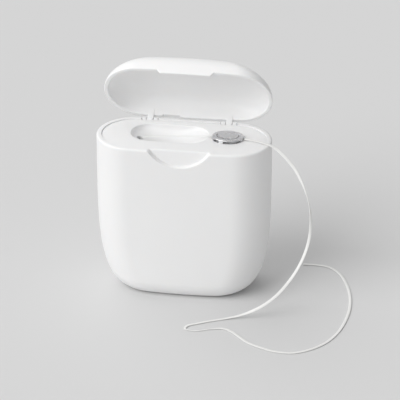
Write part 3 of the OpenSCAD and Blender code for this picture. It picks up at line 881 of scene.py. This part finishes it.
def lid_rings(lid, case):
    """The closed lid's skin: from the crown down the outside, over the lip and up the inside.

    A ring at angle t of the dome has the lid's half sizes less the crown's draw times 1 - cos t,
    at height times sin t. In front the outer half of the lip drops to the thumb tab's outline. The
    outer half ends at the tab's wall, with a small ridge that parts it from the inner half.
    """
    lid_z = RIM_Z + lid.gap
    half_x = HALF_L - lid.inset_end
    half_y = HALF_D - lid.inset_side
    edge = lid.edge_round
    dome = np.linspace(math.pi / 2, math.asin(edge / lid.height), 44)
    inner_height = lid.height - lid.wall
    inner_dome = np.linspace(math.asin(edge / inner_height), math.pi / 2, 40)
    turn = np.radians(np.arange(15, 91, 15))
    lip_out = edge * (1 - np.cos(turn))
    lip_z = edge * (1 - np.sin(turn))
    tab = lid.tab_wall

    ridge_in = (tab - 0.12 * MM, tab, tab + 0.03 * MM)
    ridge_z = (0, 0.02 * MM, 0)

    inset = np.concatenate([
        0 * dome, lip_out, ridge_in, lid.wall - lip_out[::-1], 0 * inner_dome + lid.wall,
    ])
    rise = np.concatenate([
        lid.height * np.sin(dome), lip_z, ridge_z, lip_z[::-1], inner_height * np.sin(inner_dome),
    ])
    bend = np.concatenate([dome, 0 * lip_z, [0, 0, 0], 0 * lip_z, inner_dome])
    outer = np.arange(len(inset)) < len(dome) + len(turn) + 2
    inset_x = inset + lid.crown_draw * (1 - np.cos(bend))
    inset_y = inset + lid.crown_side * (1 - np.cos(bend))

    front = stops((-14.5, -9, 0.5), (-9, 9, 0.15), (9, 14.5, 0.5))
    back = stops((-14.5, 14.5, 0.4))
    plan = outline(half_x - inset_x, half_y - inset_y, case.bow, front, shares(44), back)
    z = lid_z + np.broadcast_to(rise[:, None], plan.shape[:2])
    x = plan[..., 0]
    tab_r = case.dish_radius - lid.tab_inset
    centre_z = RIM_Z - case.dish_height + case.dish_radius
    edge_z = centre_z - np.sqrt(np.clip(tab_r**2 - x**2, 0, None))
    drop = np.clip(lid_z - edge_z, 0, lid.tab_drop)
    fade = np.clip(1 - rise / lid.tab_fade, 0, 1)[:, None] * outer[:, None]
    z = np.where(plan[..., 1] < 0, z - drop * fade, z)
    rings = rings_at(plan, z)
    out = np.linspace(0.02, 1, 8)[:, None, None]
    centre = np.array([0, 0, lid_z + lid.height])
    centre_in = np.array([0, 0, lid_z + inner_height])
    top = centre + (rings[:1] - centre) * out
    under = centre_in + (rings[-1:] - centre_in) * out[::-1]
    return np.concatenate([top[:-1], rings, under[1:]])


def lid_slot(lid):
    """Block that cuts the slot in the lid's back, between the left knuckle and the middle."""
    lid_z = RIM_Z + lid.gap
    half_y = HALF_D - lid.inset_side
    near = lid.slot_gap + hinge_reach(lid) - lid.hinge_x
    far = near + lid.slot_length
    profile = box_outline((near, half_y - lid.wall - PAST), (far, half_y + PAST), 0.12 * MM)
    return build("slot", [bar(profile, lid_z - PAST, lid_z + lid.slot_height, 0.1 * MM, "Z")])


def lid_fittings(lid):
    """The lid's two knuckles with their link blocks, and the pins moulded through them."""
    lid_z = RIM_Z + lid.gap
    top = lid_z + 2 * MM
    link_share = 0.4
    start = 180
    stop = 360 + math.degrees(math.acos(link_share))
    t = np.radians(np.linspace(start, stop, 25))
    y = lid.hinge_y + lid.ear_r * np.cos(t)
    z = lid.hinge_z + lid.ear_r * np.sin(t)
    link = [[lid.hinge_y + link_share * lid.ear_r, top], [lid.hinge_y - lid.ear_r, top]]
    profile = np.vstack([np.stack([y, z], axis=-1), link])
    reach = hinge_reach(lid)
    edge = 0.1 * MM
    parts = []
    for side in (-1, 1):
        x = side * lid.hinge_x
        parts.append(bar(profile, x - lid.knuckle / 2, x + lid.knuckle / 2, edge))
        pin = circle(lid.pin_r, (lid.hinge_y, lid.hinge_z), 24)
        parts.append(bar(pin, x - reach, x + reach, edge))
    return parts


def swing_open(piece, lid):
    """Turns a mesh modelled closed about the hinge axis to the angle that the lid stands open."""
    axis = Vector((0, lid.hinge_y, lid.hinge_z))
    turn = Matrix.Rotation(-lid.open_angle, 4, "X")
    piece.data.transform(Matrix.Translation(axis) @ turn @ Matrix.Translation(-axis))


def cutter_plan(cutter, inset):
    """Oval outlines of the cutter cap, one a row, each drawn in by an inset."""
    inset = np.reshape(inset, -1)
    plan = outline(
        cutter.length / 2 - inset, cutter.width / 2 - inset, cutter.bow, shares(32), shares(24), shares(32),
    )
    return plan + np.array([cutter.x, cutter.y])


def cutter_rings(cutter, deck_z):
    """The cap's outer skin and inner skin: a shallow oval tray upside down with a rolled edge."""
    top = deck_z + cutter.rise
    low = deck_z - cutter.seat
    turn = np.radians(np.arange(0, 91, 15))
    across = np.linspace(0, 1, 9)[1:]
    roll_in = cutter.roll * (1 - np.sin(turn))
    roll_z = top - cutter.roll * (1 - np.cos(turn))
    inner = max(cutter.roll - cutter.sheet, 0.08 * MM)
    inner_in = cutter.sheet + inner * (1 - np.sin(turn[::-1]))
    inner_z = top - cutter.sheet - inner * (1 - np.cos(turn[::-1]))
    inset = np.concatenate([roll_in, [0, cutter.sheet], inner_in])
    z = np.concatenate([roll_z, [low, low], inner_z])
    rings = rings_at(cutter_plan(cutter, inset), z)
    middle = np.array([cutter.x, cutter.y, 0])
    first = [middle + (rings[:1] - middle) * np.array([a, a, 1]) for a in across[:-1]]
    last = [middle + (rings[-1:] - middle) * np.array([a, a, 1]) for a in across[-2::-1]]
    return np.concatenate(first + [rings] + last)


def cutter_tools(cutter, deck_z, rest_width):
    """Blocks that cut the slit round the tongue, the strand's two gates and the low front opening."""
    top = deck_z + cutter.rise
    under = top - cutter.sheet
    outer, inner = cutter_plan(cutter, [cutter.slit_margin, cutter.slit_margin + cutter.slit])
    order = np.roll(np.arange(len(outer)), len(outer) // 2)
    keep = order[outer[order, 1] < cutter.y + cutter.slit_end]
    ribbon = np.vstack([outer[keep], inner[keep][::-1]])
    slit = build("slit", [bar(ribbon, under - PAST / 2, top + PAST / 2, CUT_EDGE, "Z")])
    corner = 0.12 * MM
    gate_y = cutter.gate / 2
    gate = box_outline((cutter.y - gate_y, deck_z), (cutter.y + gate_y, under), corner)
    gates = build("gates", [bar(gate, cutter.x - cutter.length, cutter.x + cutter.length, CUT_EDGE)])
    front = box_outline((cutter.y - cutter.width, deck_z), (cutter.y - rest_width / 2, under), corner)
    half = cutter.front_gap / 2
    opening = build("opening", [bar(front, cutter.x - half, cutter.x + half, CUT_EDGE)])
    return [slit, gates, opening]


def cutter_supports(deck, cutter):
    """Block that the strand is pressed against, and the hook that shows in the cap's front."""
    deck_z = deck_level(deck)
    overlap = 0.1 * MM
    corner = 0.15 * MM
    edge = 0.04 * MM
    bottom = deck_z - cutter.seat - overlap
    half = np.array([deck.rest_length, deck.rest_width]) / 2
    middle = np.array([cutter.x, cutter.y])
    rest = box_outline(middle - half, middle + half, corner)
    left = cutter.x - deck.hook_x - deck.hook_width / 2
    right = left + deck.hook_width
    back = cutter.y - deck.rest_width / 2 - deck.hook_gap
    front = cutter.y - cutter.width / 2 + deck.hook_play
    foot = box_outline((left, back - deck.hook_foot), (right, back), corner)
    nose = box_outline((left, front), (right, back), corner)
    hook_top = deck_z + cutter.rise - cutter.sheet - deck.hook_play
    return [
        build("rest", [bar(rest, bottom, deck_z + deck.rest_rise, edge, "Z")]),
        build("foot", [bar(foot, bottom, hook_top - overlap, edge, "Z")]),
        build("nose", [bar(nose, deck_z + deck.hook_play, hook_top, 1.5 * edge, "Z")]),
    ]


def route_line(route, steps):
    """Smooth line through a route's points in metres: a Catmull-Rom curve, steps points a span."""
    points = np.array(route) * MM
    last = len(points) - 1
    i = np.repeat(np.arange(last), steps)
    t = np.tile(np.arange(steps) / steps, last)[:, None]
    a = points[np.maximum(i - 1, 0)]
    b = points[i]
    c = points[i + 1]
    d = points[np.minimum(i + 2, last)]
    square = (2 * a - 5 * b + 4 * c - d) * t**2
    cube = (3 * b - a - 3 * c + d) * t**3
    return np.vstack([b + ((c - a) * t + square + cube) / 2, points[-1:]])


def lengths_along(line):
    """Distance from a line's start to each of its points."""
    step = np.linalg.norm(np.diff(line, axis=0), axis=1)
    return np.concatenate([[0], np.cumsum(step)])


def tape(line, width, thickness, twist, count=12):
    """Flat tape along a line, its section an oval turned about the line by twist at each point.

    The section's sides run level and square to the line before the twist. Its outline is a cosine
    to the power 0.8 across and a sine to the power 0.6 through the tape.
    """
    ahead = np.gradient(line, axis=0)
    ahead /= np.linalg.norm(ahead, axis=1, keepdims=True)
    side = np.stack([ahead[:, 1], -ahead[:, 0], 0 * ahead[:, 0]], axis=-1)
    side /= np.maximum(np.linalg.norm(side, axis=1, keepdims=True), 1e-9)
    up = np.cross(side, ahead)
    turn = np.reshape(twist, (-1, 1))
    wide = side * np.cos(turn) + up * np.sin(turn)
    thin = np.cross(wide, ahead)
    t = -2 * math.pi * (shares(count) + 0.5 / count)
    flat = np.sign(np.cos(t)) * np.abs(np.cos(t)) ** 0.8
    tall = np.sign(np.sin(t)) * np.abs(np.sin(t)) ** 0.6
    half_w = np.reshape(width, (-1, 1)) / 2
    half_t = np.reshape(thickness, (-1, 1)) / 2
    across = wide[:, None] * (half_w * flat)[..., None]
    through = thin[:, None] * (half_t * tall)[..., None]
    return line[:, None] + across + through


def add_lengthwise_map(piece, columns, lengths, girth):
    """UV map named along: how far round the section and how far along the tape, in metres."""
    layer = piece.data.uv_layers.new(name="along")
    corners = np.empty(len(piece.data.loops), np.int64)
    piece.data.loops.foreach_get("vertex_index", corners)
    row = np.minimum(corners // columns, len(lengths) - 1)
    around = (corners % columns) / columns * girth
    uv = np.stack([around, lengths[row]], axis=-1).astype(np.float32)
    layer.data.foreach_set("uv", uv.ravel())


def tape_piece(name, line, width, thickness, twist, columns=12):
    """A tape as an object with its lengthwise UV map."""
    rings = tape(line, width, thickness, twist, columns)
    points, groups = shell(rings)
    mesh = bpy.data.meshes.new(name)
    faces = [face for group in groups for face in group.tolist()]
    mesh.from_pydata(points.tolist(), [], faces)
    made = bpy.data.objects.new(name, mesh)
    bpy.context.collection.objects.link(made)
    add_lengthwise_map(made, columns, lengths_along(line), 2 * (np.max(width) + np.max(thickness)))
    return made


def direction(turn, height):
    """Unit vector towards a point turned to the right of the front and raised by an angle."""
    return Vector((
        math.sin(turn) * math.cos(height),
        -math.cos(turn) * math.cos(height),
        math.sin(height),
    ))


def add_sun(name, turn, height, strength, spread):
    """A soft lamp that shines from a direction."""
    light = bpy.data.lights.new(name, "SUN")
    light.energy = strength
    light.angle = spread
    lamp = bpy.data.objects.new(name, light)
    bpy.context.scene.collection.objects.link(lamp)
    lamp.rotation_euler = direction(turn, height).to_track_quat("Z", "Y").to_euler()


class DISPENSER_OT_stage(Operator):
    """Camera at the photograph's angle, pale floor and plain soft light"""
    bl_idname = "dispenser.stage"
    bl_label = "Stage"

    def execute(self, context):
        stage = context.scene.dispenser.stage
        scene = context.scene
        scene.view_settings.view_transform = "Standard"
        back = direction(stage.azimuth, stage.elevation)
        camera = bpy.data.objects.new("camera", bpy.data.cameras.new("camera"))
        scene.collection.objects.link(camera)
        camera.data.lens = stage.lens
        camera.data.sensor_width = 36
        camera.location = Vector(stage.aim) + back * stage.distance
        camera.rotation_euler = back.to_track_quat("Z", "Y").to_euler()
        camera.data.clip_start = 0.01
        camera.data.clip_end = 10
        scene.camera = camera

        mesh = bpy.data.meshes.new("floor")
        reach = stage.floor_reach
        corners = [(-reach, -reach, 0), (reach, -reach, 0), (reach, reach, 0), (-reach, reach, 0)]
        mesh.from_pydata(corners, [], [(0, 1, 2, 3)])
        floor = bpy.data.objects.new("floor", mesh)
        scene.collection.objects.link(floor)
        mesh.materials.append(matt_tabletop("matt_tabletop", stage.floor_colour))

        for lamp in ("key", "back", "fill"):
            parts = (f"{lamp}_{part}" for part in ("turn", "height", "strength", "spread"))
            add_sun(lamp, *(getattr(stage, part) for part in parts))

        world = bpy.data.worlds.new("studio")
        world.use_nodes = True
        sky = world.node_tree.nodes["Background"]
        sky.inputs["Color"].default_value = (1, 1, 1, 1)
        sky.inputs["Strength"].default_value = stage.sky_strength
        scene.world = world
        return {"FINISHED"}


class DISPENSER_OT_floss(Operator):
    """Free strand, held run and winding of waxed tape"""
    bl_idname = "dispenser.floss"
    bl_label = "Floss"

    def execute(self, context):
        floss = context.scene.dispenser.floss
        material = waxed_nylon_floss("waxed_nylon_floss", floss.colour)
        steps = 12
        line = route_line(STRAND_ROUTE, steps)
        along = lengths_along(line)
        leaving = smoothstep((along - floss.leave_from) / floss.leave_length)
        falling = smoothstep((along - floss.fall_from) / floss.fall_length)
        landing = 1 - smoothstep((line[:, 2] - floss.land_z) / floss.land_height)
        sway = floss.sway * (leaving - landing) * np.minimum(np.sin(along / floss.sway_length), 0)
        twist = sway - (leaving + landing) * floss.twist - falling * (math.pi - 2 * floss.twist)
        past_turn = (along - along[steps * int(floss.turn_from)]) / floss.slim_length
        to_full = (along[steps * int(floss.turn_to)] - along) / floss.slim_length
        kept = 1 - floss.slim * smoothstep(past_turn) * smoothstep(to_full)
        strand = tape_piece("free_strand", line, kept * floss.width, kept * floss.thickness, twist)
        shade(strand)
        finish_piece(strand, "housing", "floss_fibre", material, "floss_strand")

        run_line = route_line(RUN_ROUTE, 10)
        spread = smoothstep((run_line[:, 0] - floss.spread_x) / floss.spread_length)
        drawn_width = floss.width * (floss.held_share + (1 - floss.held_share) * spread)
        held = tape_piece(
            "held_run", run_line, drawn_width, 0 * spread + floss.held_thickness, 0 * spread,
        )
        shade(held)
        finish_piece(held, "housing", "floss_fibre", material, "floss_run")

        turns = int(2 * floss.winding_half / floss.width)
        count = turns * 72
        t = np.linspace(0, 1, count + 1)
        angle = 2 * math.pi * turns * t
        layer_r = floss.winding_r - floss.thickness / 2
        span = floss.winding_half - floss.width / 2
        helix = np.stack([
            layer_r * np.cos(angle), span * (2 * t - 1), floss.bobbin_z + layer_r * np.sin(angle),
        ], axis=-1)
        ahead = np.gradient(helix, axis=0)
        ahead /= np.linalg.norm(ahead, axis=1, keepdims=True)
        out = np.stack([np.cos(angle), 0 * angle, np.sin(angle)], axis=-1)
        wide = np.cross(ahead, out)
        s = 2 * math.pi * (shares(8) + 1 / 16)
        rings = (
            helix[:, None]
            + wide[:, None] * (0.96 * floss.width / 2 * np.cos(s))[None, :, None]
            + out[:, None] * (floss.thickness / 2 * np.sin(s))[None, :, None]
        )
        core_r = layer_r - floss.thickness / 4
        core = [
            (floss.core_r, -floss.winding_half), (core_r, -floss.winding_half),
            (core_r, floss.winding_half), (floss.core_r, floss.winding_half),
        ]
        swing = 2 * math.pi * shares(96)
        core_rings = np.stack([
            np.stack([r * np.cos(swing), 0 * swing + y, floss.bobbin_z + r * np.sin(swing)], axis=-1)
            for r, y in core
        ])
        winding = build("winding", [shell(rings), shell(core_rings, close_rows=True)])
        shade(winding, 40)
        plain = moulded_polypropylene("waxed_floss_winding", floss.colour, 0.5, grain=0.2)
        finish_piece(winding, "bobbin", "floss_fibre", plain, "floss_winding")
        return {"FINISHED"}


class DISPENSER_OT_case(Operator):
    """Moulded case with its drawn-in foot and thumb dish"""
    bl_idname = "dispenser.case"
    bl_label = "Case"

    def execute(self, context):
        settings = context.scene.dispenser
        case = build("case_shell", [shell(case_rings(settings.case))])
        combine(case, hinge_windows(settings.case, settings.lid))
        shade(case)
        material = moulded_polypropylene("moulded_polypropylene_case", settings.case.colour, 0.42)
        finish_piece(case, "housing", "case_plastic", material, "case")
        return {"FINISHED"}


class DISPENSER_OT_deck(Operator):
    """Deck with its finger recess, hinge ears and the arms that carry the bobbin"""
    bl_idname = "dispenser.deck"
    bl_label = "Deck"

    def execute(self, context):
        settings = context.scene.dispenser
        deck = settings.deck
        lid = settings.lid
        plate = build("deck_plate", [shell(deck_rings(deck, settings.case), fans=False)])
        parts = deck_fittings(deck, settings.case, lid, settings.floss)
        combine(plate, [build("fitting", [part]) for part in parts], "UNION")
        outlet = circle(deck.outlet_d / 2, (deck.outlet_offset - deck.recess_start, deck.recess_y), 40)
        low_z = RIM_Z - deck.recess_depth - 5 * PAST
        tools = [build("outlet", [bar(outlet, low_z, RIM_Z + 2 * PAST, CUT_EDGE, "Z")])]
        room = lid.ear_r + lid.knuckle_play
        half = lid.knuckle / 2 + lid.knuckle_play
        for side in (-1, 1):
            x = side * lid.hinge_x
            space = circle(room, (lid.hinge_y, lid.hinge_z))
            tools.append(build("space", [bar(space, x - half, x + half, CUT_EDGE)]))
            low = (lid.hinge_y - room, lid.hinge_z)
            above = box_outline(low, (lid.hinge_y + room, lid.hinge_z + 2 * room), 0.05 * MM)
            tools.append(build("space", [bar(above, x - half, x + half, CUT_EDGE)]))
            bore = circle(lid.pin_r + lid.pin_play, (lid.hinge_y, lid.hinge_z), 32)
            reach = hinge_reach(lid) + PAST
            tools.append(build("bore", [bar(bore, x - reach, x + reach, CUT_EDGE)]))
        cutter = settings.cutter
        seat = cutter_plan(cutter, -cutter.seat_play)[0]
        seat_low = deck_level(deck) - cutter.seat
        tools.append(build("seat", [bar(seat, seat_low, RIM_Z + PAST, CUT_EDGE, "Z")]))
        combine(plate, tools)
        combine(plate, cutter_supports(deck, cutter), "UNION")
        shade(plate)
        material = moulded_polypropylene("moulded_polypropylene_deck", deck.colour, 0.4)
        finish_piece(plate, "housing", "deck_plastic", material, "deck_insert")
        return {"FINISHED"}


class DISPENSER_OT_lid(Operator):
    """Domed lid with its thumb tab, slot, knuckles and pins, standing open"""
    bl_idname = "dispenser.lid"
    bl_label = "Lid"

    def execute(self, context):
        settings = context.scene.dispenser
        lid = settings.lid
        cover = build("lid_cover", [shell(lid_rings(lid, settings.case))])
        combine(cover, [lid_slot(lid)])
        combine(cover, [build("knuckle", [part]) for part in lid_fittings(lid)], "UNION")
        swing_open(cover, lid)
        shade(cover)
        material = moulded_polypropylene("moulded_polypropylene_lid", lid.colour, 0.42)
        finish_piece(cover, "lid", "lid_plastic", material, "lid")
        return {"FINISHED"}


class DISPENSER_OT_cutter(Operator):
    """Stamped steel cutter cap with its tongue"""
    bl_idname = "dispenser.cutter"
    bl_label = "Cutter"

    def execute(self, context):
        settings = context.scene.dispenser
        cutter = settings.cutter
        deck_z = deck_level(settings.deck)
        cap = build("cutter_plate", [shell(cutter_rings(cutter, deck_z))])
        combine(cap, cutter_tools(cutter, deck_z, settings.deck.rest_width))
        shade(cap, 40)
        material = stamped_stainless_steel("stamped_stainless_steel", cutter.colour)
        finish_piece(cap, "housing", "cutter_steel", material, "cutter_cap")
        return {"FINISHED"}


class DISPENSER_OT_bobbin(Operator):
    """Finish of the bobbin, whose shape the frame holds"""
    bl_idname = "dispenser.bobbin"
    bl_label = "Bobbin"

    def execute(self, context):
        settings = context.scene.dispenser
        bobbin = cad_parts["bobbin"]
        bobbin.data.materials.clear()
        bobbin.data.materials.append(
            moulded_polypropylene("moulded_polypropylene_bobbin", settings.deck.colour, 0.45)
        )
        return {"FINISHED"}


class DISPENSER_PT_panel(Panel):
    """Lists the dispenser's settings and the steps that build it"""
    bl_idname = "DISPENSER_PT_panel"
    bl_label = "Floss dispenser"
    bl_space_type = "VIEW_3D"
    bl_region_type = "UI"
    bl_category = "Dispenser"

    def draw(self, context):
        settings = context.scene.dispenser
        for part in STEPS:
            self.layout.operator(part.bl_idname)
            group = getattr(settings, part.bl_idname.split(".")[1], None)
            if group is not None:
                for name in group.__annotations__:
                    self.layout.prop(group, name)


STEPS = (
    DISPENSER_OT_stage,
    DISPENSER_OT_floss,
    DISPENSER_OT_case,
    DISPENSER_OT_deck,
    DISPENSER_OT_lid,
    DISPENSER_OT_cutter,
    DISPENSER_OT_bobbin,
)
GROUPS = (
    StageSettings, CaseSettings, DeckSettings, LidSettings, CutterSettings, FlossSettings,
    DispenserSettings,
)


def register():
    for group in GROUPS + STEPS + (DISPENSER_PT_panel,):
        bpy.utils.register_class(group)
    bpy.types.Scene.dispenser = PointerProperty(type=DispenserSettings)


def unregister():
    del bpy.types.Scene.dispenser
    for group in reversed(GROUPS + STEPS + (DISPENSER_PT_panel,)):
        bpy.utils.unregister_class(group)


def main():
    """Builds the stage and every piece."""
    register()
    for part in STEPS:
        group, name = part.bl_idname.split(".")
        getattr(getattr(bpy.ops, group), name)()


if __name__ == "__main__":
    main()
